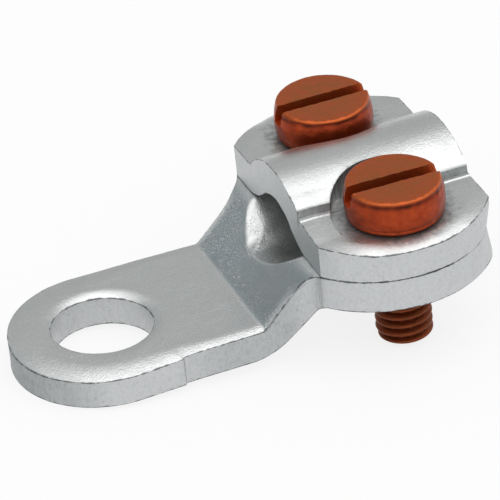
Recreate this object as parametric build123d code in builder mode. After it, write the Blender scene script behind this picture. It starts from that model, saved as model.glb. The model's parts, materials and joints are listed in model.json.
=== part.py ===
"""Mechanical lug: a pressed eye tongue whose raised seat clamps a stranded conductor under an arched
plate held by two slotted barrel-headed screws.

The origin is the centre of the stud eye on the tongue's underside. +X runs from the eye to the clamp,
+Y to the rear screw and +Z up. All lengths are in millimetres and all angles in degrees.
"""
import os
from math import asin, cos, radians, sin, sqrt, tan

from build123d import *

# Eye and tongue
eye_diameter = 8.5
ring_diameter = 15.8
tongue_thickness = 2.9

# Slope that lifts the clamp seat above the tongue
bend_distance = 11.4
slope_angle = 45.5
neck_width = 14.8
neck_distance = 13.7
heel_radius = 6.2
heel_angle = 61.0
armpit_radius = 0.6
foot_radius = 0.5
crest_radius = 2.0
seat_height = 7.3
wing_thickness = 2.9

# Clamp outline, shared by the seat and the clamp plate
clamp_distance = 23.8
clamp_length = 15.3
clamp_width = 25.7
corner_width = 18.0

# Conductor channel: a trough in the seat and an arch in the plate
channel_width = 10.5
trough_depth = 2.1
trough_wall = 2.6
plate_thickness = 2.95
arch_rise = 2.5
arch_radius = 4.45
arch_blend = 6.0

# Screws
screw_spacing = 14.6
screw_length = 12.0
shank_diameter = 4.8
tip_chamfer = 0.5
head_diameter = 8.4
crown_diameter = 7.8
head_height = 3.3
crown_edge = 0.15
foot_edge = 0.35
slot_width = 1.25
slot_depth = 1.5
front_slot_turn = -2.0
rear_slot_turn = -1.0

# Fits between the pieces, all radial
thread_clearance = 0.05
passing_clearance = 0.35
head_clearance = 1.05

# Edges left by the press
rolled_edge = 0.5
eye_edge = 0.3
trough_lip = 0.6

# Two sizes closer than this are the same when an edge or face is picked by its size
same_size = 0.001

# Places worked out from the sizes above
clamp_start = clamp_distance - clamp_length / 2
clamp_end = clamp_distance + clamp_length / 2
wing_underside = seat_height - wing_thickness
plate_top = seat_height + plate_thickness
head_top = plate_top + head_height
front_screw = (clamp_distance, -screw_spacing / 2)
rear_screw = (clamp_distance, screw_spacing / 2)

# Tongue seen from above: its straight sides leave the ring as tangents and narrow to the neck
neck_reach = sqrt(neck_distance**2 + neck_width**2 / 4)
lean = asin(ring_diameter / 2 / neck_reach) - asin(neck_width / 2 / neck_reach)
shoulder = (ring_diameter / 2 * sin(lean), ring_diameter / 2 * cos(lean))

# Slope seen from the side: its top has a sharp foot and a rounded crest, its underside one long heel
slope = radians(slope_angle)
crest = bend_distance + (seat_height - tongue_thickness) / tan(slope)
crest_cut = crest_radius * tan(slope / 2)
foot_cut = foot_radius * tan(slope / 2)
heel_turn = radians(heel_angle)
heel_height = heel_radius * (1 - cos(heel_turn))
heel_end = clamp_start - (wing_underside - heel_height) / tan(heel_turn)
heel_start = heel_end - heel_radius * sin(heel_turn)
armpit_cut = armpit_radius * tan(heel_turn / 2)

# Channel seen from its end
bulge_start = neck_distance + trough_wall / 4
bulge_overlap = wing_thickness / 4
trough_radius = (channel_width**2 / 4 + trough_depth**2) / (2 * trough_depth)
trough_axis = seat_height - trough_depth + trough_radius
bulge_radius = trough_radius + trough_wall
arch_axis = seat_height + arch_rise - arch_radius
arch_outer_radius = arch_radius + plate_thickness
arch_foot = channel_width / 2
arch_foot_height = arch_axis + sqrt(arch_outer_radius**2 - arch_foot**2)
blend_axis = seat_height + arch_blend
blend_end = sqrt((arch_radius + arch_blend) ** 2 - (blend_axis - arch_axis) ** 2)
blend_turn = asin(blend_end / (arch_radius + arch_blend))
spring_line = (arch_radius * sin(blend_turn), arch_axis + arch_radius * cos(blend_turn))
blend_middle = (
    blend_end - arch_blend * sin(blend_turn / 2),
    blend_axis - arch_blend * cos(blend_turn / 2),
)


# Lug body: the tongue, slope and seat are one pressed piece
with BuildPart() as lug_body:
    with BuildSketch(Plane.XZ):
        with BuildLine():
            Line((-ring_diameter, 0), (heel_start, 0))
            TangentArc((heel_start, 0), (heel_end, heel_height), tangent=(1, 0))
            armpit_bend = TangentArc(
                (clamp_start + armpit_cut, wing_underside),
                (clamp_start - armpit_cut * cos(heel_turn), wing_underside - armpit_cut * sin(heel_turn)),
                tangent=(-1, 0),
            )
            Line((heel_end, heel_height), armpit_bend @ 1)
            Polyline(
                (clamp_start + armpit_cut, wing_underside),
                (clamp_end, wing_underside),
                (clamp_end, seat_height),
                (crest + crest_cut, seat_height),
            )
            crest_bend = TangentArc(
                (crest + crest_cut, seat_height),
                (crest - crest_cut * cos(slope), seat_height - crest_cut * sin(slope)),
                tangent=(-1, 0),
            )
            Line(
                crest_bend @ 1,
                (bend_distance + foot_cut * cos(slope), tongue_thickness + foot_cut * sin(slope)),
            )
            TangentArc(
                (bend_distance - foot_cut, tongue_thickness),
                (bend_distance + foot_cut * cos(slope), tongue_thickness + foot_cut * sin(slope)),
                tangent=(1, 0),
            )
            Polyline(
                (bend_distance - foot_cut, tongue_thickness),
                (-ring_diameter, tongue_thickness),
                (-ring_diameter, 0),
            )
        make_face()
    extrude(amount=clamp_width, both=True)

    # Plan of the whole piece: ring, tongue, neck and the bowed clamp sides
    with BuildSketch():
        with BuildLine():
            ThreePointArc((shoulder[0], -shoulder[1]), (-ring_diameter / 2, 0), shoulder)
            for side in (-1, 1):
                neck = Line(
                    (shoulder[0], side * shoulder[1]),
                    (neck_distance, side * neck_width / 2),
                )
                TangentArc(neck @ 1, (clamp_start, side * corner_width / 2), tangent=neck % 1)
                ThreePointArc(
                    (clamp_start, side * corner_width / 2),
                    (clamp_distance, side * clamp_width / 2),
                    (clamp_end, side * corner_width / 2),
                )
            Line((clamp_end, -corner_width / 2), (clamp_end, corner_width / 2))
        make_face()
    extrude(amount=plate_top, mode=Mode.INTERSECT)

    # Bulge pushed out below the seat by the trough, of one wall thickness
    with BuildSketch(Plane.YZ.offset(bulge_start)):
        with Locations((0, trough_axis)):
            Circle(bulge_radius)
        with Locations((0, wing_underside + bulge_overlap)):
            Rectangle(2 * bulge_radius, 4 * bulge_radius, align=(Align.CENTER, Align.MIN), mode=Mode.SUBTRACT)
    extrude(amount=clamp_end - bulge_start)

    # Trough for the conductor, open at both ends
    with Locations(Plane.YZ.offset(bend_distance)):
        with Locations((0, trough_axis)):
            Cylinder(
                trough_radius,
                clamp_end,
                align=(Align.CENTER, Align.CENTER, Align.MIN),
                mode=Mode.SUBTRACT,
            )

    # The trough's lip is drawn in smoothly where it runs out through the slope
    lip = lug_body.faces().filter_by(GeomType.CYLINDER).filter_by(
        lambda face: abs(face.radius - trough_radius) < same_size
    )
    lip_edges = lip.edges().filter_by(lambda edge: (edge @ 0.5).X < clamp_end - same_size)
    fillet(lip_edges, trough_lip)

    # Stud eye, and the tapped holes as plain bores that clear the screw threads
    with Locations((0, 0, tongue_thickness)):
        Hole(eye_diameter / 2)
    with Locations(*((x, y, seat_height) for x, y in (front_screw, rear_screw))):
        Hole(shank_diameter / 2 + thread_clearance)

    # Rim of the stud eye, rounded on the side it was punched from
    eye_rims = lug_body.edges().filter_by(GeomType.CIRCLE).filter_by(
        lambda edge: abs(edge.radius - eye_diameter / 2) < same_size
    )
    fillet(eye_rims.sort_by(Axis.Z)[-1], eye_edge)

    # Edge drawn in by the press on top, from the ring up to the seat; below, the press leaves it crisp
    ring_wall = lug_body.faces().filter_by(GeomType.CYLINDER).sort_by(Axis.X)[0]
    fillet(ring_wall.edges().sort_by(Axis.Z)[-1], rolled_edge)


# Clamp plate: one even bend over the channel between two flat wings
with BuildPart() as clamp_plate:
    with BuildSketch(Plane.YZ.offset(clamp_start)):
        with BuildLine():
            ThreePointArc(
                (-arch_foot, arch_foot_height),
                (0, arch_axis + arch_outer_radius),
                (arch_foot, arch_foot_height),
            )
            ThreePointArc(
                (-spring_line[0], spring_line[1]),
                (0, arch_axis + arch_radius),
                spring_line,
            )
            for side in (-1, 1):
                ThreePointArc(
                    (side * spring_line[0], spring_line[1]),
                    (side * blend_middle[0], blend_middle[1]),
                    (side * blend_end, seat_height),
                )
                Polyline(
                    (side * blend_end, seat_height),
                    (side * clamp_width, seat_height),
                    (side * clamp_width, plate_top),
                    (side * arch_foot, plate_top),
                    (side * arch_foot, arch_foot_height),
                )
        make_face()
    extrude(amount=clamp_length)
    with BuildSketch(Plane.XY.offset(seat_height)):
        with BuildLine():
            for side in (-1, 1):
                ThreePointArc(
                    (clamp_start, side * corner_width / 2),
                    (clamp_distance, side * clamp_width / 2),
                    (clamp_end, side * corner_width / 2),
                )
            for end in (clamp_start, clamp_end):
                Line((end, -corner_width / 2), (end, corner_width / 2))
        make_face()
    extrude(amount=head_top, mode=Mode.INTERSECT)

    # Passing holes, with a flat seat cut into the arch's flank round each head
    with Locations(*((x, y, plate_top) for x, y in (front_screw, rear_screw))):
        CounterBoreHole(
            shank_diameter / 2 + passing_clearance,
            head_diameter / 2 + head_clearance,
            0,
        )

    # Edges drawn in by the press along the tops of the bowed sides
    for wall in (clamp_plate.faces().sort_by(Axis.Y)[0], clamp_plate.faces().sort_by(Axis.Y)[-1]):
        fillet(wall.edges().filter_by(GeomType.CIRCLE).sort_by(Axis.Z)[-1], rolled_edge)


def slotted_screw(place, slot_turn):
    """Make one barrel-headed screw seated on the clamp plate, its slot turned from the X axis."""
    seat = Plane((*place, plate_top))
    crown_radius = crown_diameter / 2
    with BuildPart() as screw:
        with BuildSketch(Plane(seat.origin, x_dir=(1, 0, 0), z_dir=(0, -1, 0))):
            with BuildLine():
                Polyline((crown_radius, 0), (0, 0), (0, head_height), (crown_radius, head_height))
                ThreePointArc(
                    (crown_radius, head_height),
                    (head_diameter / 2, head_height / 2),
                    (crown_radius, 0),
                )
            make_face()
        revolve(axis=Axis(seat.origin, seat.z_dir))
        fillet(screw.edges().filter_by(GeomType.CIRCLE).sort_by(Axis.Z)[-1], crown_edge)
        fillet(screw.edges().filter_by(GeomType.CIRCLE).sort_by(Axis.Z)[0], foot_edge)
        with BuildSketch(seat):
            Circle(shank_diameter / 2)
        extrude(amount=-screw_length)
        chamfer(screw.edges().filter_by(GeomType.CIRCLE).sort_by(Axis.Z)[0], tip_chamfer)
        with BuildSketch(seat.offset(head_height)):
            Rectangle(2 * head_diameter, slot_width, rotation=slot_turn)
        extrude(amount=-slot_depth, mode=Mode.SUBTRACT)
    return screw


screw_front = slotted_screw(front_screw, front_slot_turn)
screw_rear = slotted_screw(rear_screw, rear_slot_turn)

lug_body.part.label = "lug_body"
clamp_plate.part.label = "clamp_plate"
screw_front.part.label = "screw_front"
screw_rear.part.label = "screw_rear"

os.makedirs("parts", exist_ok=True)
for piece in (lug_body, clamp_plate, screw_front, screw_rear):
    export_step(piece.part, f"parts/{piece.part.label}.step")
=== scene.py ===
"""Dress the mechanical lug: a pressed, tin-plated eye tongue and clamp plate with two slotted screws."""

import json
from math import asin, atan2, ceil, cos, hypot, pi, radians, sin, sqrt, tan

import bpy
import numpy as np
from mathutils import Matrix, Vector, noise
from mathutils.geometry import delaunay_2d_cdt
from mathutils.kdtree import KDTree


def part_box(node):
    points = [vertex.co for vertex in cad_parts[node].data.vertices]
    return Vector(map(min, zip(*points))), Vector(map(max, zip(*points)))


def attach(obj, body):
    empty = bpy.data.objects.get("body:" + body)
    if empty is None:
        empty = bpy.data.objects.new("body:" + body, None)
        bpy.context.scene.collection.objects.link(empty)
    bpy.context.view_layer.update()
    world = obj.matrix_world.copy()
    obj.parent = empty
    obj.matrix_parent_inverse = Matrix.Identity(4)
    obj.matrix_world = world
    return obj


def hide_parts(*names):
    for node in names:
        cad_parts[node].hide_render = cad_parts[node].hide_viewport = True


bl_info = {
    "name": "Mechanical lug",
    "version": (1, 0, 0),
    "blender": (4, 5, 0),
    "location": "View3D > Sidebar > Mechanical lug",
    "description": "Builds the finished surfaces of a pressed mechanical lug with two slotted screws",
    "category": "Add Mesh",
}

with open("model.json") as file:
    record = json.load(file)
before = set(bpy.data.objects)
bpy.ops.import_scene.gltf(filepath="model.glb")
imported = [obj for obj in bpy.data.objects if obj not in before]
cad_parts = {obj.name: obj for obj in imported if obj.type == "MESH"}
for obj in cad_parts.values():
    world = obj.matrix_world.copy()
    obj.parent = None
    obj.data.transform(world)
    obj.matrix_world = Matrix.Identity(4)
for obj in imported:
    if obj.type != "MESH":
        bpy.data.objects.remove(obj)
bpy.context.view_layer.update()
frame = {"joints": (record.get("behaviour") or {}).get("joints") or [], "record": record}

# Shapes are worked out in millimetres, and meshes and the stage are in metres
MM = 0.001


def frame_size(node, corner, axis):
    """One coordinate of a CAD node's lowest (0) or highest (1) corner, in millimetres."""
    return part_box(node)[corner][axis] / MM


# Sizes taken from the frame
RING_RADIUS = -frame_size("lug_body", 0, 0)
SEAT = frame_size("lug_body", 1, 2)
CLAMP_START = frame_size("clamp_plate", 0, 0)
CLAMP_END = frame_size("clamp_plate", 1, 0)
CLAMP_SIDE = frame_size("clamp_plate", 1, 1)
ARCH_TOP = frame_size("clamp_plate", 1, 2)
HEAD_RADIUS = (frame_size("screw_front", 1, 0) - frame_size("screw_front", 0, 0)) / 2
HEAD_TOP = frame_size("screw_front", 1, 2)
SCREW_TIP = frame_size("screw_front", 0, 2)
SCREW_JOINTS = {j["child"]: Vector(j["pos_m"]) / MM for j in frame["joints"] if j["type"] == "hinge"}
CLAMP_MIDDLE, SCREW_SIDE, PLATE_TOP = (abs(c) for c in SCREW_JOINTS["screw_rear"])
EYE_RADIUS = next(m["dims"]["r_mm"] for m in frame["record"]["mounts"] if m["kind"] == "bore")

# Sizes of the pressed forms
TONGUE = 2.9
WING_BOTTOM = 4.4
BEND = 11.4
SLOPE = radians(45.5)
NECK_X = 13.7
NECK_SIDE = 7.4
CORNER_SIDE = 9.0
HEEL_RADIUS = 6.2
HEEL_TURN = radians(61)
CHANNEL_SIDE = 5.25
TROUGH_DEPTH = 2.1
TROUGH_WALL = 2.6
ARCH_RADIUS = 4.45
ARCH_BLEND = 6.0
BORE_RADIUS = 2.45
PASSING_RADIUS = 2.75

# The step where the two dies met on the tongue's front side
DIE_STEP_X = 4.2
DIE_STEP = 0.22

# The arch's steep foot and the low ledge beside it, and how much further out they lie at the rear
FOOT_SIDE = 4.8
LEDGE_START = 4.9
LEDGE_END = 5.3
LEDGE_HEIGHT = 0.1
REAR_FOOT = 0.45

# How far the far side of the trough's mouth is closed at the bend and at the crest
BEND_CLOSED = 2.0
CREST_CLOSED = 0.9
# How early the far lip leaves the slope, and how much of the way down to the trough it is drawn
LIP_REACH = 0.62
LIP_DRAW = 0.65

# The clamp's front corner, drawn in beside the split
CORNER_DEPTH = 0.35
CORNER_REACH = 1.8

# The cut round each screw head, and the width of its steep wall
SPOT_RADIUS = 5.25
SPOT_WALL = 0.05

# How far the front wing was bent up beside the arch
WING_LIFT = 0.35
# How much larger the clamp plate's rolled edges are than the body's
PLATE_ROLL = 1.5
# How much of a rolled edge is left where it fades out
ROLL_LEFT = 0.12

# How far the sheared sides and the flat faces stray, in lumps of these sizes
SIDE_INSET = 0.04
SIDE_STRAY = 0.04
SIDE_LUMP = 1.5
FACE_STRAY = 0.02
FACE_LUMP = 3.0

# Screws: rolled thread, barrel head and the turn of each slot from the X axis
SHANK_RADIUS = 2.4
THREAD_DEPTH = 0.49
TAPPED_DEPTH = 0.42
THREAD_STEEPNESS = 2.6
TIP_ROUNDING = 0.7
CROWN_RADIUS = 3.96
HEAD_ROUNDING = 0.3
SLOT_EDGE = 0.04
FRONT_SLOT = radians(-2)
REAR_SLOT = radians(-1)

# Places worked out from those sizes
BOW_RISE = CLAMP_SIDE - CORNER_SIDE
BOW_REACH = (CLAMP_END - CLAMP_START) / 2
BOW_RADIUS = (BOW_REACH**2 + BOW_RISE**2) / (2 * BOW_RISE)
TROUGH_RADIUS = (CHANNEL_SIDE**2 + TROUGH_DEPTH**2) / (2 * TROUGH_DEPTH)
TROUGH_AXIS = SEAT - TROUGH_DEPTH + TROUGH_RADIUS
BULGE_RADIUS = TROUGH_RADIUS + TROUGH_WALL
ARCH_OUTER = ARCH_RADIUS + PLATE_TOP - SEAT
ARCH_AXIS = ARCH_TOP - ARCH_OUTER
BLEND_AXIS = SEAT + ARCH_BLEND
BLEND_END = sqrt((ARCH_RADIUS + ARCH_BLEND) ** 2 - (BLEND_AXIS - ARCH_AXIS) ** 2)
SPRING_SIDE = ARCH_RADIUS * BLEND_END / (ARCH_RADIUS + ARCH_BLEND)
CREST_X = BEND + (SEAT - TONGUE) / tan(SLOPE)

# How closely points stand along an outline and over a face
OUTLINE_STEP = 0.1
FACE_STEP = 0.2
# Rows of points inside an edge: depth from it, and every how many outline points
EDGE_ROWS = [(0.04, 1), (0.1, 1), (0.2, 2), (0.34, 2)] + [(0.5 + 0.2 * row, 2) for row in range(7)]
CROWN_ROWS = [(depth, 1) for depth in (0.03, 0.08, 0.15, 0.23, 0.32)]
CROWN_STEP = 0.15
# Rows of points down a side, as shares of its height, closest together at its edges
WALL_ROWS = np.r_[0, 0.015, 0.04, np.linspace(0.1, 0.9, 11), 0.96, 0.985, 1]
TAPPED_ROWS = np.linspace(0, 1, 37)
HEAD_ROWS = np.linspace(0, 1, 45)
# Points round and along a screw's thread
THREAD_COLUMNS = 73
THREAD_ROWS = 240

# The photograph's own view, solved from the eye, the ring and the clamp's outline
CAMERA_AZIMUTH = radians(-19.391)
CAMERA_HEIGHT = radians(32.875)
CAMERA_ROLL = radians(-5.76)
CAMERA_DISTANCE = 363.997
CAMERA_TARGET = Vector((13, 0, 4))
# How far the view was moved right and up after it was solved
CAMERA_SHIFT = (0.489, 1.54)
FOCAL_PIXELS = 4385.75
FRAME_PIXELS = 500
SENSOR = 36.0

# Studio, in metres apart from its middle, which is also the middle of the lug
STUDIO_MIDDLE = Vector((CLAMP_MIDDLE / 2, 0, 4)) * MM
FLOOR_REACH = 1.5
FLOOR_GAP = 0.00002
CARD_DISTANCE = 0.6
LAMP_DISTANCE = 0.7
LAMP_SIZE = (1.5, 1.0)
LAMP_POWER = 3.3
# How strongly the white world lights the object, and how white the floor is where it is seen directly
WORLD_LIGHT = 0.7
FLOOR_WHITE = 0.82


def linear(hex_colour):
    """The linear colour of an sRGB hex value such as "A8AAAA"."""
    shares = (int(hex_colour[i:i + 2], 16) / 255 for i in (0, 2, 4))
    return [s / 12.92 if s <= 0.04045 else ((s + 0.055) / 1.055) ** 2.4 for s in shares] + [1.0]


class LugSettings(bpy.types.PropertyGroup):
    """Sizes and colours of the finished lug."""

    roll_width: bpy.props.FloatProperty(
        name="Rolled edge width", description="How far the press draws in the top beside a sheared edge",
        default=1.0 * MM, unit="LENGTH")
    roll_depth: bpy.props.FloatProperty(
        name="Rolled edge depth", description="How far the top drops at a sheared edge",
        default=0.3 * MM, unit="LENGTH")
    thread_pitch: bpy.props.FloatProperty(
        name="Thread pitch", description="Distance between two crests of the screw thread",
        default=0.8 * MM, unit="LENGTH")
    slot_width: bpy.props.FloatProperty(
        name="Slot width", description="Width of the sawn screwdriver slot",
        default=1.25 * MM, unit="LENGTH")
    slot_depth: bpy.props.FloatProperty(
        name="Slot depth", description="Depth of the sawn screwdriver slot",
        default=1.5 * MM, unit="LENGTH")
    plating: bpy.props.FloatVectorProperty(
        name="Plating colour", description="Colour of the satin tin plating", subtype="COLOR",
        default=linear("DBDCDB")[:3])
    bronze: bpy.props.FloatVectorProperty(
        name="Bronze colour", description="Colour of the darkened bronze screws", subtype="COLOR",
        default=linear("B85A2B")[:3])


def add_node(tree, kind, inputs=(), output=0, **settings):
    """Add a node with its settings and inputs, and return one of its outputs.

    The inputs are values or outputs of other nodes, given in order or by name.
    """
    node = tree.nodes.new(kind)
    for key, value in settings.items():
        setattr(node, key, value)
    for key, value in inputs.items() if isinstance(inputs, dict) else enumerate(inputs):
        if isinstance(value, bpy.types.NodeSocket):
            tree.links.new(value, node.inputs[key])
        else:
            node.inputs[key].default_value = value
    return node.outputs[output]


# Outlines seen from above

def arc(centre, radius, first, last):
    """Points along an arc between two angles, its last point left out."""
    count = ceil(abs(last - first) * radius / OUTLINE_STEP)
    turn = np.linspace(first, last, count, endpoint=False)
    return np.c_[centre[0] + radius * np.cos(turn), centre[1] + radius * np.sin(turn)]


def line(start, end):
    """Points along a straight line, its last point left out."""
    count = ceil(hypot(end[0] - start[0], end[1] - start[1]) / OUTLINE_STEP)
    return np.linspace(start, end, count, endpoint=False)


def mirrored_loop(half):
    """Close a loop that starts and ends on the X axis and runs below it."""
    return np.r_[half, half[-2:0:-1] * (1, -1)]


def bow():
    """The bowed front side shared by the seat and the clamp plate."""
    centre = (CLAMP_MIDDLE, BOW_RADIUS - CLAMP_SIDE)
    reach = asin(BOW_REACH / BOW_RADIUS)
    return arc(centre, BOW_RADIUS, -pi / 2 - reach, -pi / 2 + reach)


def body_outline():
    """Ring, tongue, neck flare and clamp sides, anticlockwise."""
    neck_reach = hypot(NECK_X, NECK_SIDE)
    lean = asin(RING_RADIUS / neck_reach) - asin(NECK_SIDE / neck_reach)
    shoulder = (RING_RADIUS * sin(lean), -RING_RADIUS * cos(lean))
    run, rise = CLAMP_START - NECK_X, CORNER_SIDE - NECK_SIDE
    flare_radius = (run**2 + rise**2) / (2 * (run * sin(lean) + rise * cos(lean)))
    flare_centre = (NECK_X + flare_radius * sin(lean), -NECK_SIDE - flare_radius * cos(lean))
    flare_end = atan2(-CORNER_SIDE - flare_centre[1], CLAMP_START - flare_centre[0])
    loop = mirrored_loop(np.r_[
        arc((0, 0), RING_RADIUS, -pi, lean - pi / 2),
        line(shoulder, (NECK_X, -NECK_SIDE)),
        arc(flare_centre, flare_radius, pi / 2 + lean, flare_end),
        bow(),
        line((CLAMP_END, -CORNER_SIDE), (CLAMP_END, 0)),
        [(CLAMP_END, 0)],
    ])
    # The two dies didn't quite meet on the front side, which leaves a small step
    x, y = loop.T
    step = ramp(x, DIE_STEP_X, DIE_STEP_X + 0.12) * (1 - ramp(x, DIE_STEP_X + 1, NECK_X - 3)) * DIE_STEP
    return np.c_[x, np.where(y < 0, y + step, y)]


def plate_outline():
    """Two straight ends and two bowed sides, anticlockwise."""
    return mirrored_loop(np.r_[
        line((CLAMP_START, 0), (CLAMP_START, -CORNER_SIDE)),
        bow(),
        line((CLAMP_END, -CORNER_SIDE), (CLAMP_END, 0)),
        [(CLAMP_END, 0)],
    ])


def hole(centre, radius):
    """A round hole's loop, clockwise."""
    return arc(centre, radius, 2 * pi, 0)


# Measuring on outlines

def inside(points, loop):
    """Whether each point lies inside a closed loop."""
    (x0, y0), (x1, y1) = loop.T, np.roll(loop, -1, axis=0).T
    found = []
    for part in np.array_split(points, len(points) // 4000 + 1):
        x, y = part[:, :1], part[:, 1:]
        spans = (y0 > y) != (y1 > y)
        with np.errstate(divide="ignore", invalid="ignore"):
            before = x < x0 + (y - y0) * (x1 - x0) / (y1 - y0)
        found.append((spans & before).sum(axis=1) % 2 == 1)
    return np.concatenate(found)


def edge_distance(points, path):
    """Distance from each point to a dense path of points."""
    tree = KDTree(len(path))
    for number, (x, y) in enumerate(path):
        tree.insert((x, y, 0), number)
    tree.balance()
    nearest = np.array([tree.find((x, y, 0))[1] for x, y in points])
    found = []
    for step in (-1, 0):
        start = path[np.clip(nearest + step, 0, len(path) - 2)]
        along = path[np.clip(nearest + step, 0, len(path) - 2) + 1] - start
        share = np.clip(((points - start) * along).sum(axis=1) / (along**2).sum(axis=1), 0, 1)
        found.append(np.hypot(*(points - start - share[:, None] * along).T))
    return np.minimum(*found)


def closed_path(loop):
    """A loop with its first point repeated at its end."""
    return np.r_[loop, loop[:1]]


def smooth_lower(a, b, width):
    """The lower of two heights, rounded where they cross."""
    near = np.maximum(width - np.abs(a - b), 0) / width
    return np.minimum(a, b) - near**2 * width / 4


def smooth_upper(a, b, width):
    """The higher of two heights, filled where they cross."""
    return -smooth_lower(-a, -b, width)


def ramp(value, start, end):
    """0 before start, 1 after end, and straight between."""
    return np.clip((value - start) / (end - start), 0, 1)


def eased(value, start, end):
    """The same from 0 to 1, with a soft start and end."""
    share = ramp(value, start, end)
    return share**2 * (3 - 2 * share)


def lumps(points, size, seed=0.0):
    """Smooth noise from about -0.5 to 0.5, in lumps of that size."""
    return np.array([noise.noise(Vector(p) / size + Vector((seed, seed, seed))) for p in points])


def flat_lumps(plan, size, seed=0.0):
    """The same noise over a flat face."""
    return lumps(np.c_[plan, np.zeros(len(plan))], size, seed)


# Meshes of pressed and turned pieces

def face_points(loops, rows, step):
    """Points inside the loops: rows that follow each edge, then an even spread."""
    found = []
    for loop in loops:
        along = np.roll(loop, -1, axis=0) - np.roll(loop, 1, axis=0)
        inward = np.c_[-along[:, 1], along[:, 0]] / np.hypot(*along.T)[:, None]
        for depth, stride in rows:
            found.append((loop + inward * depth)[::stride])
    low, high = loops[0].min(axis=0), loops[0].max(axis=0)
    x, y = np.meshgrid(np.arange(low[0], high[0], step), np.arange(low[1], high[1], step * sqrt(3) / 2))
    x[1::2] += step / 2
    found.append(np.c_[x.ravel(), y.ravel()])
    depths = np.concatenate([np.full(len(part), 0.9 * depth) for part, (depth, stride) in
                             zip(found, list(rows) * len(loops) + [(rows[-1][0] + step / 2, 1)])])
    points = np.concatenate(found)
    clear = np.min([edge_distance(points, closed_path(loop)) for loop in loops], axis=0) >= depths
    points = points[clear]
    solid = inside(points, loops[0])
    for loop in loops[1:]:
        solid &= ~inside(points, loop)
    return points[solid]


def sheet_mesh(name, loops, creases, top, bottom, wall, shade_and_dirt, rows=EDGE_ROWS, step=FACE_STEP,
               wall_rows=WALL_ROWS):
    """Make a closed mesh between two faces given as heights over one plan.

    The first loop is the outline and the others are holes. Faces keep to the creases. wall gives how far
    a point on the sides stands out from the outline, and the next function how much painted shade and
    dirt each point carries, from 0 to 1.
    """
    points, edges = [], []
    for path, is_loop in [(loop, True) for loop in loops] + [(crease, False) for crease in creases]:
        first = len(points)
        points.extend(path)
        edges.extend((i, i + 1) for i in range(first, len(points) - 1))
        if is_loop:
            edges.append((len(points) - 1, first))
    points.extend(face_points(loops, rows, step))
    plan, _, triangles, *_ = delaunay_2d_cdt([Vector(p) for p in points], edges, [], 1, 1e-5, False)
    plan, triangles = np.array([tuple(p) for p in plan]), np.array(triangles)
    middles = plan[triangles].mean(axis=1)
    solid = inside(middles, loops[0])
    for loop in loops[1:]:
        solid &= ~inside(middles, loop)
    used, triangles = np.unique(triangles[solid], return_inverse=True)
    plan, triangles = plan[used], triangles.reshape(-1, 3)

    # Turn every triangle the same way, and follow the rims with the direction out of the solid
    corners = plan[triangles]
    side, other = corners[:, 1] - corners[:, 0], corners[:, 2] - corners[:, 0]
    turned = side[:, 0] * other[:, 1] < side[:, 1] * other[:, 0]
    triangles[turned] = triangles[turned][:, ::-1]
    directed = {(a, b) for t in triangles.tolist() for a, b in zip(t, t[1:] + t[:1])}
    following = {a: b for a, b in directed if (b, a) not in directed}
    rim = np.array(list(following))
    after = np.array([following[a] for a in rim.tolist()])
    before = np.empty(len(plan), int)
    before[after] = rim
    along = plan[after] - plan[before[rim]]
    outward = np.c_[along[:, 1], -along[:, 0]] / np.hypot(*along.T)[:, None]

    # Both faces at their heights, and columns of points down the sides
    high, low = top(plan), bottom(plan)
    heights = high[rim][:, None] + (low - high)[rim][:, None] * wall_rows
    columns = np.dstack([np.repeat(plan[rim][:, None], len(wall_rows), axis=1), heights])
    moved = wall(columns.reshape(-1, 3)).reshape(heights.shape)
    columns[:, :, :2] += outward[:, None] * moved[:, :, None]
    upper, under = np.c_[plan, high], np.c_[plan, low]
    upper[rim], under[rim] = columns[:, 0], columns[:, -1]

    # The upper points come first, then the lower ones and those on the sides
    count, inner = len(plan), len(wall_rows) - 2
    numbers = np.c_[rim, 2 * count + np.arange(len(rim) * inner).reshape(-1, inner), count + rim]
    place = np.empty(count, int)
    place[rim] = np.arange(len(rim))
    right = numbers[place[after]]
    walls = np.stack([numbers[:, :-1], numbers[:, 1:], right[:, 1:], right[:, :-1]], axis=2)
    walls = walls.reshape(-1, 4)
    faces = triangles.tolist() + (triangles[:, ::-1] + count).tolist() + walls.tolist()
    mesh = bpy.data.meshes.new(name)
    points = np.r_[upper, under, columns[:, 1:-1].reshape(-1, 3)]
    mesh.from_pydata((points * MM).tolist(), [], faces)

    # The materials read how far each point is from an edge, whether it is on a side, and its painted
    # shade and dirt
    edge_gap = np.min([edge_distance(plan, closed_path(loop)) for loop in loops], axis=0)
    row_gap = np.minimum(heights[:, :1] - heights, heights - heights[:, -1:])[:, 1:-1]
    on_wall = np.zeros(2 * count + row_gap.size)
    on_wall[2 * count:] = 1
    on_wall[rim] = on_wall[count + rim] = 0.5
    store(mesh, "edge_gap", np.r_[edge_gap, edge_gap, row_gap.ravel()])
    store(mesh, "wall", on_wall)
    store(mesh, "shade_and_dirt", shade_and_dirt(points))
    finish_shading(mesh)
    return mesh


def store(mesh, name, values):
    """Keep one number for each point of a mesh, for its material to read."""
    attribute = mesh.attributes.new(name, "FLOAT", "POINT")
    attribute.data.foreach_set("value", np.asarray(values, np.float32))


def finish_shading(mesh, angle=radians(38)):
    """Shade a mesh smoothly apart from its crisp edges."""
    mesh.shade_smooth()
    mesh.set_sharp_from_angle(angle=angle)
    mesh.validate()


def add_piece(name, mesh, material, node):
    """Put a finished mesh in the scene in place of its CAD node, on the body of the same name."""
    piece = bpy.data.objects.new(name, mesh)
    bpy.context.scene.collection.objects.link(piece)
    if mesh.materials:
        mesh.materials[0] = material
    else:
        mesh.materials.append(material)
    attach(piece, node)
    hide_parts(node)


# Heights of the pressed faces

def rolled_drop(gap, width, depth):
    """How far a face drops beside an edge that the press drew in."""
    return depth * (1 - ramp(gap, 0, width)) ** 1.7


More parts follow.
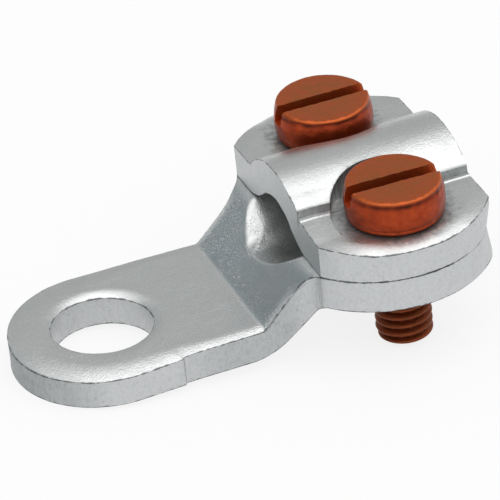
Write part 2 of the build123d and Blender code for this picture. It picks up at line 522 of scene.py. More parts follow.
def side_profile_top(x):
    """Tongue, slope and seat along the top."""
    rise = TONGUE + (x - BEND) * tan(SLOPE)
    tight_foot, round_crest = 0.12, 0.85
    return smooth_lower(smooth_upper(TONGUE, rise, tight_foot), SEAT, round_crest)


def side_profile_bottom(x):
    """Tongue, heel and seat along the underside."""
    heel_height = HEEL_RADIUS * (1 - cos(HEEL_TURN))
    heel_end = CLAMP_START - (WING_BOTTOM - heel_height) / tan(HEEL_TURN)
    reach = np.clip(x - heel_end + HEEL_RADIUS * sin(HEEL_TURN), 0, HEEL_RADIUS * sin(HEEL_TURN))
    heel = HEEL_RADIUS - np.sqrt(HEEL_RADIUS**2 - reach**2)
    heel += np.maximum(x - heel_end, 0) * tan(HEEL_TURN)
    armpit = 0.6
    return smooth_lower(heel, WING_BOTTOM, armpit)


def trough_height(y, radius):
    """Height of a round trough across the channel, carried on straight where it turns steep."""
    straight_from = 0.8 * radius
    side = np.minimum(np.abs(y), straight_from)
    steep = side / np.sqrt(radius**2 - side**2)
    return TROUGH_AXIS - np.sqrt(radius**2 - side**2) + (np.abs(y) - side) * steep


def arch_height(y):
    """Top of the clamp plate: a round arch whose steep foot stands on a low ledge beside each wing."""
    further = REAR_FOOT * (y > 0)
    side = np.minimum(np.abs(y), FOOT_SIDE + further)
    flank = ARCH_AXIS + np.sqrt(ARCH_OUTER**2 - side**2)
    foot = flank + (PLATE_TOP + LEDGE_HEIGHT - flank) * ramp(np.abs(y) - further, FOOT_SIDE, LEDGE_START)
    return foot + (PLATE_TOP - foot) * ramp(np.abs(y) - further, LEDGE_END, LEDGE_END + LEDGE_HEIGHT)


def channel_height(y):
    """Underside of the clamp plate: the arch's inside, blended into the flat wings."""
    side = np.abs(y)
    arch = ARCH_AXIS + np.sqrt(ARCH_RADIUS**2 - np.minimum(side, SPRING_SIDE) ** 2)
    reach = np.clip(BLEND_END - side, 0, BLEND_END - SPRING_SIDE)
    blend = BLEND_AXIS - np.sqrt(ARCH_BLEND**2 - reach**2)
    return np.where(side < SPRING_SIDE, arch, blend)


def draw_in_corner(mesh):
    """Draw the clamp's front corner in beside the split, where the blade left both halves round."""
    points = np.array([v.co for v in mesh.vertices]) / MM
    away = np.hypot(points[:, 0] - CLAMP_END, points[:, 1] + CORNER_SIDE)
    from_split = np.abs(points[:, 2] - SEAT) / (PLATE_TOP - SEAT)
    depth = CORNER_DEPTH * np.exp(-(away / CORNER_REACH) ** 2) * (1 - ramp(from_split, 0, 0.77))
    inward = (-0.8, 0.6)
    points[:, :2] += depth[:, None] * inward
    mesh.vertices.foreach_set("co", (points * MM).ravel())


# Materials

MATH = "ShaderNodeMath"
RANGE = "ShaderNodeMapRange"
NOISE = "ShaderNodeTexNoise"
MIX = "ShaderNodeMix"
# A colour mix takes its share and two colours in these inputs, and gives its colour in this output
SHARE, UNDER, OVER = 0, 6, 7
MIXED = 2


def start_metal(name, marks, patterns):
    """A metal with the marks that its mesh stores and its noise patterns, each found by its name.

    A pattern has its size in millimetres, its detail and how far it is drawn out along X, Y and Z.
    """
    material = bpy.data.materials.new(name)
    material.use_nodes = True
    tree = material.node_tree
    place = add_node(tree, "ShaderNodeTexCoord", output="Object")
    found = {"place": add_node(tree, "ShaderNodeSeparateXYZ", [place]).node.outputs}
    for mark in marks:
        found[mark] = add_node(tree, "ShaderNodeAttribute", output="Fac", attribute_name=mark)
    for pattern, size, detail, stretch in patterns:
        scale = [1 / (size * MM * share) for share in stretch]
        spread = add_node(tree, "ShaderNodeMapping", {"Vector": place, "Scale": scale})
        found[pattern] = add_node(tree, NOISE, {"Vector": spread, "Scale": 1.0, "Detail": detail})
    return material, tree, found


def finish_metal(tree, metallic, roughness, colour, layers, relief):
    """Lay colours over the first by their shares, and raise the surface by patterns times millimetres."""
    shader = tree.nodes["Principled BSDF"]
    shader.inputs["Metallic"].default_value = metallic
    tree.links.new(roughness, shader.inputs["Roughness"])
    for share, layer in layers:
        colour = add_node(tree, MIX, {SHARE: share, UNDER: colour, OVER: layer}, MIXED, data_type="RGBA")
    tree.links.new(colour, shader.inputs["Base Color"])
    height = 0.0
    for pattern, rise in relief:
        height = add_node(tree, MATH, [pattern, rise * MM, height], operation="MULTIPLY_ADD")
    bump = add_node(tree, "ShaderNodeBump", {"Height": height, "Strength": 1.0, "Distance": 1.0})
    tree.links.new(bump, shader.inputs["Normal"])


def plated_metal():
    """Tin-plated copper: a pressed blank with a thin electroplated skin."""
    # The skin gives a soft satin grey with a fine grain, a faint mottle and bright rolled edges
    material, tree, found = start_metal("satin_tin_plating", ("edge_gap", "wall", "shade_and_dirt"), (
        ("mottle", 1.6, 4, (1, 1, 1)),
        ("fleck", 0.3, 5, (1, 1, 1.6)),
        ("ragged", 0.5, 4, (1, 1, 1)),
        ("grain", 0.16, 3, (1, 1, 1)),
        ("waves", 0.9, 2, (1, 1, 1)),
        ("pimple", 0.13, 0, (1, 1, 1)),
        ("patch", 2.5, 1, (1, 1, 1)),
        ("streak", 0.14, 2, (1, 1, 16)),
        ("scratch", 0.09, 2, (25, 1, 1)),
    ))
    along, up, wall, shade_and_dirt = found["place"]["X"], found["place"]["Z"], found["wall"], found["shade_and_dirt"]

    # Its tone wanders and is flecked on the sheared sides; painted shade, broken into blotches with some
    # dirt round the heads, darkens it where the mesh marks it
    tone = add_node(tree, RANGE, [found["mottle"], 0.35, 0.65, 0.0, 0.6])
    speckled = add_node(tree, RANGE, [found["grain"], 0.35, 0.65, 0.0, 0.16])
    flecks = add_node(tree, RANGE, [found["fleck"], 0.5, 0.75, 0.0, 0.2])
    flecked = add_node(tree, MATH, [flecks, wall], operation="MULTIPLY")
    blotches = add_node(tree, RANGE, [found["fleck"], 0.35, 0.62, 0.85, 1.1])
    shade_and_dirt_share = add_node(tree, MATH, [shade_and_dirt, blotches], operation="MULTIPLY")
    # A ragged dark line of painted shade runs along the crisp edges and the split between the two pieces
    width = add_node(tree, RANGE, [found["ragged"], 0.3, 0.7, 0.02, 0.14])
    past = add_node(tree, MATH, [found["edge_gap"], width], operation="SUBTRACT")
    painted_edge_line = add_node(tree, RANGE, [past, -0.04, 0.01, 0.75, 0.0])
    # The painted shade line fades along the split towards the clamp's far end
    near_end = add_node(tree, RANGE, [along, (CLAMP_END - 5.5) * MM, (CLAMP_END - 3) * MM, 1.0, 0.0])
    over_split = add_node(tree, RANGE, [up, (SEAT + 0.5) * MM, (SEAT + 1.5) * MM, 0.0, 1.0])
    kept = add_node(tree, MATH, [near_end, over_split], operation="MAXIMUM")
    painted_edge_line = add_node(tree, MATH, [painted_edge_line, kept], operation="MULTIPLY")

    satin = add_node(tree, RANGE, [found["mottle"], 0.3, 0.7, 0.3, 0.38])
    satin = add_node(tree, MATH, [wall, 0.14, satin], operation="MULTIPLY_ADD")
    satin = add_node(tree, MATH, [shade_and_dirt, 0.3, satin], operation="MULTIPLY_ADD")

    # Pimples stand in patches on the slope, and streaks run down the sheared sides
    after_bend = add_node(tree, RANGE, [along, (BEND - 0.5) * MM, BEND * MM, 0.12, 1.0])
    before_crest = add_node(tree, RANGE, [along, (CREST_X - 1.5) * MM, CREST_X * MM, 1.0, 0.12])
    patchy = add_node(tree, RANGE, [found["patch"], 0.4, 0.6, 0.1, 1.0])
    pimples = add_node(tree, RANGE, [found["pimple"], 0.67, 0.78, 0.0, 1.0])
    for share in (after_bend, before_crest, patchy):
        pimples = add_node(tree, MATH, [pimples, share], operation="MULTIPLY")
    scratches = add_node(tree, RANGE, [found["scratch"], 0.62, 0.75, 0.0, 1.0])
    streaks = add_node(tree, MATH, [found["streak"], wall], operation="MULTIPLY")

    plating = [*bpy.context.scene.lug_settings.plating, 1.0]
    finish_metal(tree, 1.0, satin, plating, (
        (tone, linear("CFD1D1")),
        (wall, linear("CDCFD0")),
        (speckled, linear("8F9293")),
        (flecked, linear("858989")),
        # Painted shade, with some dirt round the heads
        (shade_and_dirt_share, linear("2E3C3E")),
        # Painted shade line along the crisp edges and the split
        (painted_edge_line, linear("34393B")),
    ), (
        (found["grain"], 0.026),
        (found["waves"], 0.016),
        (pimples, 0.05),
        (scratches, -0.006),
        (streaks, 0.03),
    ))
    return material


def darkened_bronze():
    """Bronze that was turned, threaded and then browned."""
    # The browning gives a satin red and brown mottle, redder towards the rim, and the thread is darkened
    # by painted shade over darker oxide
    material, tree, found = start_metal("darkened_bronze", ("wall", "shade_and_dirt", "turned"), (
        ("mottle", 0.7, 5, (1, 1, 1)),
        ("grain", 0.2, 3, (1, 1, 1)),
    ))
    wall, turned = found["wall"], found["turned"]
    patches = add_node(tree, RANGE, [found["mottle"], 0.35, 0.65, 0.0, 0.8])
    redder = add_node(tree, RANGE, [turned, 2.2, 3.8, 0.0, 0.5])
    belly = add_node(tree, MIX, {SHARE: patches, UNDER: linear("A8421F"), OVER: linear("8C3217")}, MIXED,
                     data_type="RGBA")
    # Painted shade under the rim, at the head's foot and in the slot
    shade_and_dirt_share = add_node(tree, MATH, [found["shade_and_dirt"], 0.85], operation="MULTIPLY")
    up = found["place"]["Z"]
    # Painted shade, with darker oxide, down the thread below the plate
    below = add_node(tree, RANGE, [up, (PLATE_TOP - 0.6) * MM, PLATE_TOP * MM, 0.75, 0.0])
    satin = add_node(tree, RANGE, [found["mottle"], 0.3, 0.7, 0.3, 0.42])

    # The lathe left fine rings on the flat top
    ring = add_node(tree, "ShaderNodeCombineXYZ", [turned])
    rings = add_node(tree, NOISE, {"Vector": ring, "Scale": 1 / 0.22, "Detail": 2.0})
    flat = add_node(tree, MATH, [1.0, wall], operation="SUBTRACT")
    rings = add_node(tree, MATH, [rings, flat], operation="MULTIPLY")

    bronze = [*bpy.context.scene.lug_settings.bronze, 1.0]
    finish_metal(tree, 0.85, satin, bronze, (
        (patches, linear("9C5B2C")),
        (redder, linear("C0552A")),
        (wall, belly),
        (shade_and_dirt_share, linear("2C1009")),
        (below, linear("4A1D10")),
    ), (
        (found["grain"], 0.03),
        (rings, 0.02),
    ))
    return material


def shared_material(name, make):
    """The material of that name, made the first time it is asked for."""
    return bpy.data.materials.get(name) or make()


# Geometry nodes of the screws

def thread_tree():
    """Node tree that winds a rounded thread round a screw's shank, below the head that it is given."""
    tree = bpy.data.node_groups.new("threaded screw", "GeometryNodeTree")
    sockets = tree.interface
    sockets.new_socket("Head", in_out="INPUT", socket_type="NodeSocketGeometry")
    for label in ("Outer radius", "Thread depth", "Pitch", "Length", "Tip rounding", "Turn"):
        sockets.new_socket(label, in_out="INPUT", socket_type="NodeSocketFloat")
    sockets.new_socket("Seat", in_out="INPUT", socket_type="NodeSocketVector")
    sockets.new_socket("Material", in_out="INPUT", socket_type="NodeSocketMaterial")
    sockets.new_socket("Screw", in_out="OUTPUT", socket_type="NodeSocketGeometry")
    given = tree.nodes.new("NodeGroupInput").outputs
    result = tree.nodes.new("NodeGroupOutput")

    # A flat grid: X is the angle round the screw, and Y runs from the tip's end to the seat
    grid = add_node(tree, "GeometryNodeMeshGrid", [2 * pi, 1.0, THREAD_COLUMNS, THREAD_ROWS])
    flat = add_node(tree, "GeometryNodeInputPosition")
    spread = add_node(tree, "ShaderNodeSeparateXYZ", [flat]).node.outputs
    angle = spread["X"]
    share = add_node(tree, MATH, [spread["Y"], 0.5], operation="ADD")
    depth = add_node(tree, MATH, [share, given["Length"]], operation="MULTIPLY")
    rise = add_node(tree, MATH, [given["Length"], depth], operation="SUBTRACT")

    # Radius of the thread: a groove that climbs one pitch in each turn, with rounded crests
    climbed = add_node(tree, MATH, [rise, given["Pitch"]], operation="DIVIDE")
    round_share = add_node(tree, MATH, [angle, 2 * pi], operation="DIVIDE")
    turns = add_node(tree, MATH, [climbed, round_share], operation="SUBTRACT")
    shifted = add_node(tree, MATH, [turns, 0.5], operation="ADD")
    wave = add_node(tree, MATH, [shifted, 0.5], operation="PINGPONG")
    steep = add_node(tree, MATH, [wave, THREAD_STEEPNESS], operation="MULTIPLY")
    crest = add_node(tree, MATH, [steep, 1.0, 0.35], operation="SMOOTH_MIN")
    low = add_node(tree, MATH, [1.0, crest], operation="SUBTRACT")
    groove = add_node(tree, MATH, [low, given["Thread depth"]], operation="MULTIPLY")
    radius = add_node(tree, MATH, [given["Outer radius"], groove], operation="SUBTRACT")

    # The tip is rounded, and the first row closes it at a point on the axis
    dome = add_node(tree, MATH, [rise, given["Tip rounding"]], operation="DIVIDE")
    capped = add_node(tree, MATH, [dome, 1.0], operation="MINIMUM")
    short = add_node(tree, MATH, [1.0, capped], operation="SUBTRACT")
    squared = add_node(tree, MATH, [short, short], operation="MULTIPLY")
    left = add_node(tree, MATH, [1.0, squared], operation="SUBTRACT")
    tip = add_node(tree, MATH, [left], operation="SQRT")
    radius = add_node(tree, MATH, [radius, tip], operation="MULTIPLY")
    after_first = add_node(tree, MATH, [share, 0.5 / (THREAD_ROWS - 1)], operation="GREATER_THAN")
    radius = add_node(tree, MATH, [radius, after_first], operation="MULTIPLY")

    turned = [add_node(tree, MATH, [angle], operation=operation) for operation in ("COSINE", "SINE")]
    across = [add_node(tree, MATH, [radius, reach], operation="MULTIPLY") for reach in turned]
    down = add_node(tree, MATH, [depth, -1.0], operation="MULTIPLY")
    wound = add_node(tree, "ShaderNodeCombineXYZ", [*across, down])
    shaped = add_node(tree, "GeometryNodeSetPosition", {"Geometry": grid, "Position": wound})
    merged = add_node(tree, "GeometryNodeMergeByDistance", {"Geometry": shaped, "Distance": 0.001 * MM})
    joined = add_node(tree, "GeometryNodeJoinGeometry", [merged])
    tree.links.new(given["Head"], joined.node.inputs[0])
    spun = add_node(tree, "ShaderNodeCombineXYZ", {"Z": given["Turn"]})
    placed = add_node(tree, "GeometryNodeTransform",
                      {"Geometry": joined, "Translation": given["Seat"], "Rotation": spun})
    real = add_node(tree, "GeometryNodeRealizeInstances", [placed])
    painted = add_node(tree, "GeometryNodeSetMaterial", {"Geometry": real, "Material": given["Material"]})
    tree.links.new(painted, result.inputs[0])
    return tree


def made_by_nodes(name, tree, base, inputs):
    """Run a node tree over a mesh and return the plain mesh that it makes."""
    carrier = bpy.data.objects.new(name, base)
    bpy.context.scene.collection.objects.link(carrier)
    modifier = carrier.modifiers.new("Nodes", "NODES")
    modifier.node_group = tree
    for item in tree.interface.items_tree:
        if item.in_out == "INPUT" and item.name in inputs:
            modifier[item.identifier] = inputs[item.name]
    result = bpy.data.meshes.new_from_object(carrier.evaluated_get(bpy.context.evaluated_depsgraph_get()))
    carrier.modifiers.remove(modifier)
    bpy.data.objects.remove(carrier)
    return result


class LUG_OT_body(bpy.types.Operator):
    """Press the lug body: ring, tongue, slope and seat in one plated piece"""

    bl_idname = "lug.body"
    bl_label = "Lug body"

    def execute(self, context):
        """Make the body's mesh and put it in place of its CAD node."""
        settings = context.scene.lug_settings
        width, depth = settings.roll_width / MM, settings.roll_depth / MM
        pitch = settings.thread_pitch / MM
        outline = body_outline()
        eye = hole((0, 0), EYE_RADIUS)
        bores = [hole((CLAMP_MIDDLE, side * SCREW_SIDE), BORE_RADIUS) for side in (-1, 1)]
        crisp_end = np.abs(outline[:, 0] - CLAMP_END) < OUTLINE_STEP / 2
        rolled = outline[~crisp_end]

        def top(plan):
            x, y = plan.T
            # The press closed the trough's mouth on the far side, and drew the slope in to a crisp edge
            open_end = 1 - eased(x, CLAMP_START + 0.2, CLAMP_MIDDLE)
            closed = BEND_CLOSED + (CREST_CLOSED - BEND_CLOSED) * eased(x, NECK_X - 0.5, CREST_X - 0.2)
            slope = side_profile_top(x)
            trough = trough_height(y + closed * eased(y, -0.3, 2) * open_end, TROUGH_RADIUS)
            shoulder = smooth_upper(LIP_REACH * eased(y, -0.2, 1.8) - trough + slope, 0, 0.4)
            drawn = slope - LIP_DRAW * ramp(y, -0.3, 0.3) * open_end * shoulder
            height = smooth_lower(drawn, trough, 0.05)

            # The rolled edge fades towards the clamp and on the far side, and is largest on the ring
            on_slope = ramp(x, BEND, BEND + 0.8) * (1 - ramp(x, BEND + 2, CREST_X))
            share = 1 - (1 - ROLL_LEFT) * ramp(x, BEND + 3, CLAMP_START)
            share *= (1 - 0.5 * ramp(y, 0, 4)) * (1 - 0.15 * ramp(x, 3, 6)) * (1 + 0.5 * on_slope)
            wider = 2.1 - 1.1 * ramp(x, 0, 7)
            deeper = 1.5 - 0.5 * ramp(x, 0, 7)
            height -= share * rolled_drop(edge_distance(plan, rolled), wider * width, deeper * depth)

            # The eye's edge is rolled too, most where it faces the clamp and the far side
            facing = (y + 1.1 * x) / np.hypot(x, y)
            height -= (0.2 + 0.11 * facing) * rolled_drop(edge_distance(plan, closed_path(eye)), 1.0, 1.0)
            return height + FACE_STRAY * flat_lumps(plan, FACE_LUMP)

        def bottom(plan):
            x, y = plan.T
            return smooth_lower(side_profile_bottom(x), trough_height(y, BULGE_RADIUS), 0.2)

        def wall(points):
            out = -SIDE_INSET - SIDE_STRAY * lumps(points, SIDE_LUMP)
            # The tapped thread stands in the grooves of the screw's thread
            for side, turn in ((-1, FRONT_SLOT), (1, REAR_SLOT)):
                x, y, z = (points - (CLAMP_MIDDLE, side * SCREW_SIDE, SCREW_TIP)).T
                in_bore = np.hypot(x, y) < BORE_RADIUS + OUTLINE_STEP
                turns = z / pitch - (np.arctan2(y, x) - turn) / (2 * pi)
                steep = ramp(THREAD_STEEPNESS * np.abs(turns % 1 - 0.5), 0, 1)
                out = np.where(in_bore, TAPPED_DEPTH * (1 - steep), out)
            return out

        def shade_and_dirt(points):
            # Painted shade: darker towards the front of the slope and on the sheared sides of the ring
            # and neck
            x, y, z = points.T
            on_slope = ramp(x, BEND, BEND + 0.6) * (1 - ramp(x, CREST_X - 1, CREST_X))
            on_slope *= z > side_profile_top(x) - 0.6
            on_side = edge_distance(points[:, :2], closed_path(outline)) < 0.12
            on_side &= z < side_profile_top(x) - 0.35
            on_ring = ramp(x, -2, -RING_RADIUS)
            on_neck = ramp(x, 3, 8) * (1 - ramp(x, NECK_X, CLAMP_START))
            return 0.2 * on_slope * ramp(-y, -1.5, 3.5) + on_side * (0.36 * on_ring + 0.17 * on_neck)

        mesh = sheet_mesh("pressed_body", [outline, eye, *bores], [], top, bottom, wall, shade_and_dirt,
                          wall_rows=TAPPED_ROWS)
        draw_in_corner(mesh)
        metal = shared_material("satin_tin_plating", plated_metal)
        add_piece("pressed_body", mesh, metal, "lug_body")
        return {"FINISHED"}


class LUG_OT_plate(bpy.types.Operator):
    """Press the clamp plate: an arch over the conductor between two flat wings"""

    bl_idname = "lug.plate"
    bl_label = "Clamp plate"

    def execute(self, context):
        """Make the plate's mesh and put it in place of its CAD node."""
        settings = context.scene.lug_settings
        width, depth = PLATE_ROLL * settings.roll_width / MM, PLATE_ROLL * settings.roll_depth / MM
        outline = plate_outline()
        screws = [(CLAMP_MIDDLE, side * SCREW_SIDE) for side in (-1, 1)]
        holes = [hole(screw, PASSING_RADIUS) for screw in screws]
        front_bow = np.r_[bow(), [(CLAMP_END, -CORNER_SIDE)]]
        feet = [line((CLAMP_START, side * (y + further)), (CLAMP_END, side * (y + further)))
                for side, further in ((-1, 0), (1, REAR_FOOT))
                for y in (FOOT_SIDE, LEDGE_START, LEDGE_END, LEDGE_END + LEDGE_HEIGHT)]
        spots = [arc(screw, radius, 0, 2 * pi)
                 for screw in screws
                 for radius in (SPOT_RADIUS, SPOT_RADIUS + SPOT_WALL)]

        def top(plan):
            x, y = plan.T
            height = arch_height(y)
            # The front wing was bent a little up beside the arch at the tongue's end
            lifted = (1 - ramp(-y, LEDGE_START, 8.5)) * (1 - ramp(x, CLAMP_START + 1.5, CLAMP_START + 7))
            height += WING_LIFT * lifted * ramp(-y, FOOT_SIDE - 1.5, LEDGE_START)
            for screw in screws:
                cut = ramp(np.hypot(x - screw[0], y - screw[1]), SPOT_RADIUS, SPOT_RADIUS + SPOT_WALL)
                height = np.where(height > PLATE_TOP, PLATE_TOP + (height - PLATE_TOP) * cut, height)
            # Only the bowed sides are rolled, and most at their middles
            bowed = np.minimum(edge_distance(plan, front_bow), edge_distance(plan * (1, -1), front_bow))
            share = 1 - 0.9 * ramp(np.abs(x - CLAMP_MIDDLE), 0.5 * BOW_REACH, BOW_REACH)
            height -= share * rolled_drop(bowed, width, depth)
            return height + FACE_STRAY * flat_lumps(plan, FACE_LUMP, 5)

        def bottom(plan):
            return channel_height(plan[:, 1])

        def wall(points):
            return -SIDE_INSET - SIDE_STRAY * lumps(points, SIDE_LUMP)

        def shade_and_dirt(points):
            # Painted shade lies round the heads, where their shadow falls, ragged with some dirt; painted
            # shade also lies along the arch's front foot and on the walls of the cuts
            away = np.min([np.hypot(points[:, 0] - x, points[:, 1] - y) for x, y in screws], axis=0)
            ragged = away + 0.9 * lumps(points, 0.4)
            round_head = 1 - ramp(ragged, HEAD_RADIUS - 0.2, HEAD_RADIUS + 1.1)
            front = -points[:, 1]
            foot = ramp(front, FOOT_SIDE - 0.15, FOOT_SIDE)
            foot *= 1 - ramp(front, LEDGE_START, LEDGE_START + 0.1)
            cut = ramp(away, SPOT_RADIUS - 0.15, SPOT_RADIUS)
            cut *= 1 - ramp(away, SPOT_RADIUS + 0.02, SPOT_RADIUS + 0.1)
            cut *= points[:, 2] > PLATE_TOP + 0.2
            on_top = points[:, 2] > PLATE_TOP - 0.2
            return on_top * np.max([0.6 * round_head, cut, 0.55 * foot], axis=0)

        mesh = sheet_mesh("pressed_plate", [outline, *holes], [*feet, *spots], top, bottom, wall, shade_and_dirt)
        draw_in_corner(mesh)
        metal = shared_material("satin_tin_plating", plated_metal)
        add_piece("pressed_plate", mesh, metal, "clamp_plate")
        return {"FINISHED"}


def head_mesh(name, slot_half, slot_depth, seed):
    """Turn one barrel head with its sawn slot along X, standing on the origin."""
    full_height = HEAD_TOP - PLATE_TOP
    # The face lies a little low, so that its burrs stay within the CAD's height
    crown = full_height - 0.09
    outline = arc((0, 0), CROWN_RADIUS, 0, 2 * pi)
    reach = CROWN_RADIUS + 0.1
    saw = [line((-reach, side * y), (reach, side * y))
           for side in (-1, 1)
           for y in (slot_half, slot_half - SLOT_EDGE)]

    def rounding(gap):
        """How far a rounded edge of the head falls, as a share."""
        return 1 - np.sqrt(1 - (1 - ramp(gap, 0, HEAD_ROUNDING)) ** 2)

    def top(plan):
        """Height of the crown, with the slot sawn through it."""
        gap = edge_distance(plan, closed_path(outline))
        across = np.abs(plan[:, 1])
        # The saw and the lathe left slight burrs beside the slot and inside the rim
        beside_slot = np.exp(-np.maximum(across - slot_half, 0) / 0.12)
        beside_rim = np.exp(-np.abs(gap - HEAD_ROUNDING) / 0.15)
        burr = 0.06 * (beside_slot + beside_rim) * flat_lumps(plan, 0.5, seed)
        face = crown - 0.22 * rounding(gap) + burr + FACE_STRAY * flat_lumps(plan, 1.5, seed)
        sawn = 1 - ramp(across, slot_half - SLOT_EDGE, slot_half)
        return face + (full_height - slot_depth - face) * sawn

    def bottom(plan):
        return HEAD_ROUNDING * rounding(edge_distance(plan, closed_path(outline)))

    def wall(points):
        share = points[:, 2] / full_height
        belly = (HEAD_RADIUS - CROWN_RADIUS) * (1 - ((share - 0.45) / 0.5) ** 2)
        under_rim = 0.06 * np.exp(-((share - 0.86) / 0.05) ** 2)
        over_foot = 0.05 * np.exp(-((share - 0.17) / 0.03) ** 2)
        return belly - under_rim - over_foot - 0.02 + 0.04 * lumps(points, 0.8, seed)

    def shade_and_dirt(points):
        # Painted shade: a dark band under the rim, the foot where the head meets the plate, and the
        # slot's floor
        share = points[:, 2] / full_height
        radius = np.hypot(points[:, 0], points[:, 1])
        outside = radius > CROWN_RADIUS - 0.05
        under_rim = 0.7 * np.exp(-((share - 0.86) / 0.06) ** 2) * (1 + lumps(points, 0.8, seed))
        foot = 1 - ramp(share, 0.05, 0.12)
        in_slot = 0.25 * (share < 0.9) * ~outside
        return np.clip(np.where(outside & (share < 0.94), np.maximum(under_rim, foot), in_slot), 0, 1)

    mesh = sheet_mesh(name, [outline], saw, top, bottom, wall, shade_and_dirt, CROWN_ROWS, CROWN_STEP, HEAD_ROWS)
    store(mesh, "turned", [hypot(v.co.x, v.co.y) / MM for v in mesh.vertices])
    return mesh


class LUG_OT_screws(bpy.types.Operator):
    """Turn, slot and thread the two screws"""

    bl_idname = "lug.screws"
    bl_label = "Slotted screws"

    def execute(self, context):
        """Make both screws and put them in place of their CAD nodes."""
        settings = context.scene.lug_settings
        tree = thread_tree()
        metal = shared_material("darkened_bronze", darkened_bronze)
        for number, (node, turn) in enumerate((("screw_front", FRONT_SLOT), ("screw_rear", REAR_SLOT))):
            head = head_mesh(node, settings.slot_width / MM / 2, settings.slot_depth / MM, 3.0 * number)
            mesh = made_by_nodes(node, tree, head, {
                "Outer radius": SHANK_RADIUS * MM,
                "Thread depth": THREAD_DEPTH * MM,
                "Pitch": settings.thread_pitch,
                "Length": (PLATE_TOP - SCREW_TIP) * MM,
                "Tip rounding": TIP_ROUNDING * MM,
                "Turn": turn,
                "Seat": SCREW_JOINTS[node] * MM,
                "Material": metal,
            })
            finish_shading(mesh)
            add_piece(f"slotted_{node}", mesh, metal, node)
        return {"FINISHED"}


class LUG_OT_stage(bpy.types.Operator):
    """Set the floor, the soft lights, the reflected cards and the camera"""

    bl_idname = "lug.stage"
    bl_label = "Stage"

    def execute(self, context):
        """Add the studio round the lug."""
        add_world(context.scene)
        add_floor()
        add_cards()
        add_lamp()
        add_camera(context.scene)
        context.scene.view_settings.view_transform = "Standard"
        return {"FINISHED"}


def seen_directly(tree):
    """1 for camera, mirror and transmission rays, and 0 for the rays that light the object."""
    path = add_node(tree, "ShaderNodeLightPath").node.outputs
    seen = add_node(tree, MATH, [path["Is Camera Ray"], path["Is Glossy Ray"]], operation="MAXIMUM")
    return add_node(tree, MATH, [seen, path["Is Transmission Ray"]], operation="MAXIMUM")


def add_world(scene):
    """Even white surroundings, white wherever they are seen directly or mirrored."""
    world = bpy.data.worlds.new("studio")
    world.use_nodes = True
    tree = world.node_tree
    strength = add_node(tree, RANGE, [seen_directly(tree), 0.0, 1.0, WORLD_LIGHT, 1.0])
    tree.links.new(strength, tree.nodes["Background"].inputs["Strength"])
    tree.nodes["Background"].inputs["Color"].default_value = linear("FFFFFF")
    scene.world = world


def stage_card(name, corners, colour, glow):
    """A flat matt stage surface between four corners."""
    material = bpy.data.materials.new(name)
    material.use_nodes = True
    shader = material.node_tree.nodes["Principled BSDF"]
    shader.inputs["Base Color"].default_value = linear(colour)
    shader.inputs["Roughness"].default_value = 1.0
    shader.inputs["Specular IOR Level"].default_value = 0.0
    shader.inputs["Emission Color"].default_value = linear(glow)
    shader.inputs["Emission Strength"].default_value = 1.0
    mesh = bpy.data.meshes.new(name)
    mesh.from_pydata(corners, [], [(0, 1, 2, 3)])
    mesh.materials.append(material)
    card = bpy.data.objects.new(name, mesh)
    bpy.context.scene.collection.objects.link(card)
    return card


def add_floor():
    """A wide pale floor that touches both screw tips and the ring's far edge, with a light shadow."""
    tilt = -SCREW_TIP / (CLAMP_MIDDLE + RING_RADIUS)
    corners = []
    for x, y in ((-1, -1), (1, -1), (1, 1), (-1, 1)):
        rise = (CLAMP_MIDDLE * MM - x * FLOOR_REACH) * tilt
        corners.append((x * FLOOR_REACH, y * FLOOR_REACH, SCREW_TIP * MM - FLOOR_GAP + rise))
    floor = stage_card("floor", corners, "F2F2F2", "000000")
    tree = floor.data.materials[0].node_tree
    lit = tree.nodes["Principled BSDF"].outputs[0]
    white = add_node(tree, "ShaderNodeEmission", [linear("FFFFFF"), 1.0])
    share = add_node(tree, MATH, [seen_directly(tree), FLOOR_WHITE], operation="MULTIPLY")
    mixed = add_node(tree, "ShaderNodeMixShader", [share, lit, white])
    tree.links.new(mixed, tree.nodes["Material Output"].inputs["Surface"])


def add_cards():
    """Grey cards outside the picture that the metal mirrors."""
    for name, direction, size, tone in (
        ("back_card", (0.28, 0.84, 0.46), 0.75, "B9BBBB"),
        ("left_card", (-0.75, 0.6, 0.27), 0.7, "7E8C91"),
    ):
        towards = Vector(direction).normalized()
        turn = towards.to_track_quat("Z", "Y").to_matrix()
        middle = STUDIO_MIDDLE + towards * CARD_DISTANCE
        corners = [middle + turn @ Vector((x, y, 0)) * size / 2
                   for x, y in ((-1, -1), (1, -1), (1, 1), (-1, 1))]
        card = stage_card(name, corners, "000000", tone)
        card.visible_camera = card.visible_diffuse = card.visible_shadow = False


def add_lamp():
    """One broad soft lamp above and in front."""
    towards = Vector((0.1, -0.2, 0.97)).normalized()
    lamp = bpy.data.lights.new("key", "AREA")
    lamp.shape = "RECTANGLE"
    lamp.size, lamp.size_y = LAMP_SIZE
    lamp.energy = LAMP_POWER
    key = bpy.data.objects.new("key", lamp)
    bpy.context.scene.collection.objects.link(key)
    key.location = STUDIO_MIDDLE + towards * LAMP_DISTANCE
    key.rotation_euler = towards.to_track_quat("Z", "Y").to_euler()


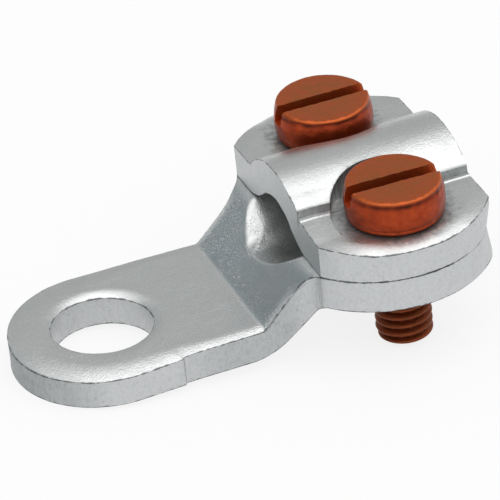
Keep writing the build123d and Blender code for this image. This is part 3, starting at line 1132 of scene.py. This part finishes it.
def add_camera(scene):
    """The photograph's own view, solved from the eye, the ring and the clamp outline."""
    azimuth, height = CAMERA_AZIMUTH, CAMERA_HEIGHT
    back = Vector((sin(azimuth) * cos(height), -cos(azimuth) * cos(height), sin(height)))
    right = Vector((cos(azimuth), sin(azimuth), 0))
    up = back.cross(right)
    target = CAMERA_TARGET + right * CAMERA_SHIFT[0] + up * CAMERA_SHIFT[1]
    level = right * cos(CAMERA_ROLL) + up * sin(CAMERA_ROLL)
    upright = up * cos(CAMERA_ROLL) - right * sin(CAMERA_ROLL)
    data = bpy.data.cameras.new("camera")
    data.sensor_width = SENSOR
    data.lens = FOCAL_PIXELS / FRAME_PIXELS * SENSOR
    data.clip_start = 0.01
    camera = bpy.data.objects.new("camera", data)
    scene.collection.objects.link(camera)
    turn = Matrix((level, upright, back)).transposed().to_4x4()
    camera.matrix_world = Matrix.Translation((target + back * CAMERA_DISTANCE) * MM) @ turn
    scene.camera = camera


class LUG_PT_panel(bpy.types.Panel):
    """Lists the operators that build the lug"""

    bl_label = "Mechanical lug"
    bl_idname = "LUG_PT_panel"
    bl_space_type = "VIEW_3D"
    bl_region_type = "UI"
    bl_category = "Mechanical lug"

    def draw(self, context):
        """Show the sizes and colours, then a button for each operator."""
        for key in LugSettings.__annotations__:
            self.layout.prop(context.scene.lug_settings, key)
        for operator in OPERATORS:
            self.layout.operator(operator.bl_idname)


OPERATORS = (LUG_OT_stage, LUG_OT_body, LUG_OT_plate, LUG_OT_screws)
CLASSES = (LugSettings, *OPERATORS, LUG_PT_panel)


def register():
    """Add the classes and the lug's settings to Blender."""
    for item in CLASSES:
        bpy.utils.register_class(item)
    bpy.types.Scene.lug_settings = bpy.props.PointerProperty(type=LugSettings)


def unregister():
    """Take the settings and the classes out again."""
    del bpy.types.Scene.lug_settings
    for item in reversed(CLASSES):
        bpy.utils.unregister_class(item)


def main():
    """Build the stage and the lug."""
    register()
    bpy.ops.lug.stage()
    bpy.ops.lug.body()
    bpy.ops.lug.plate()
    bpy.ops.lug.screws()


if __name__ == "__main__":
    main()
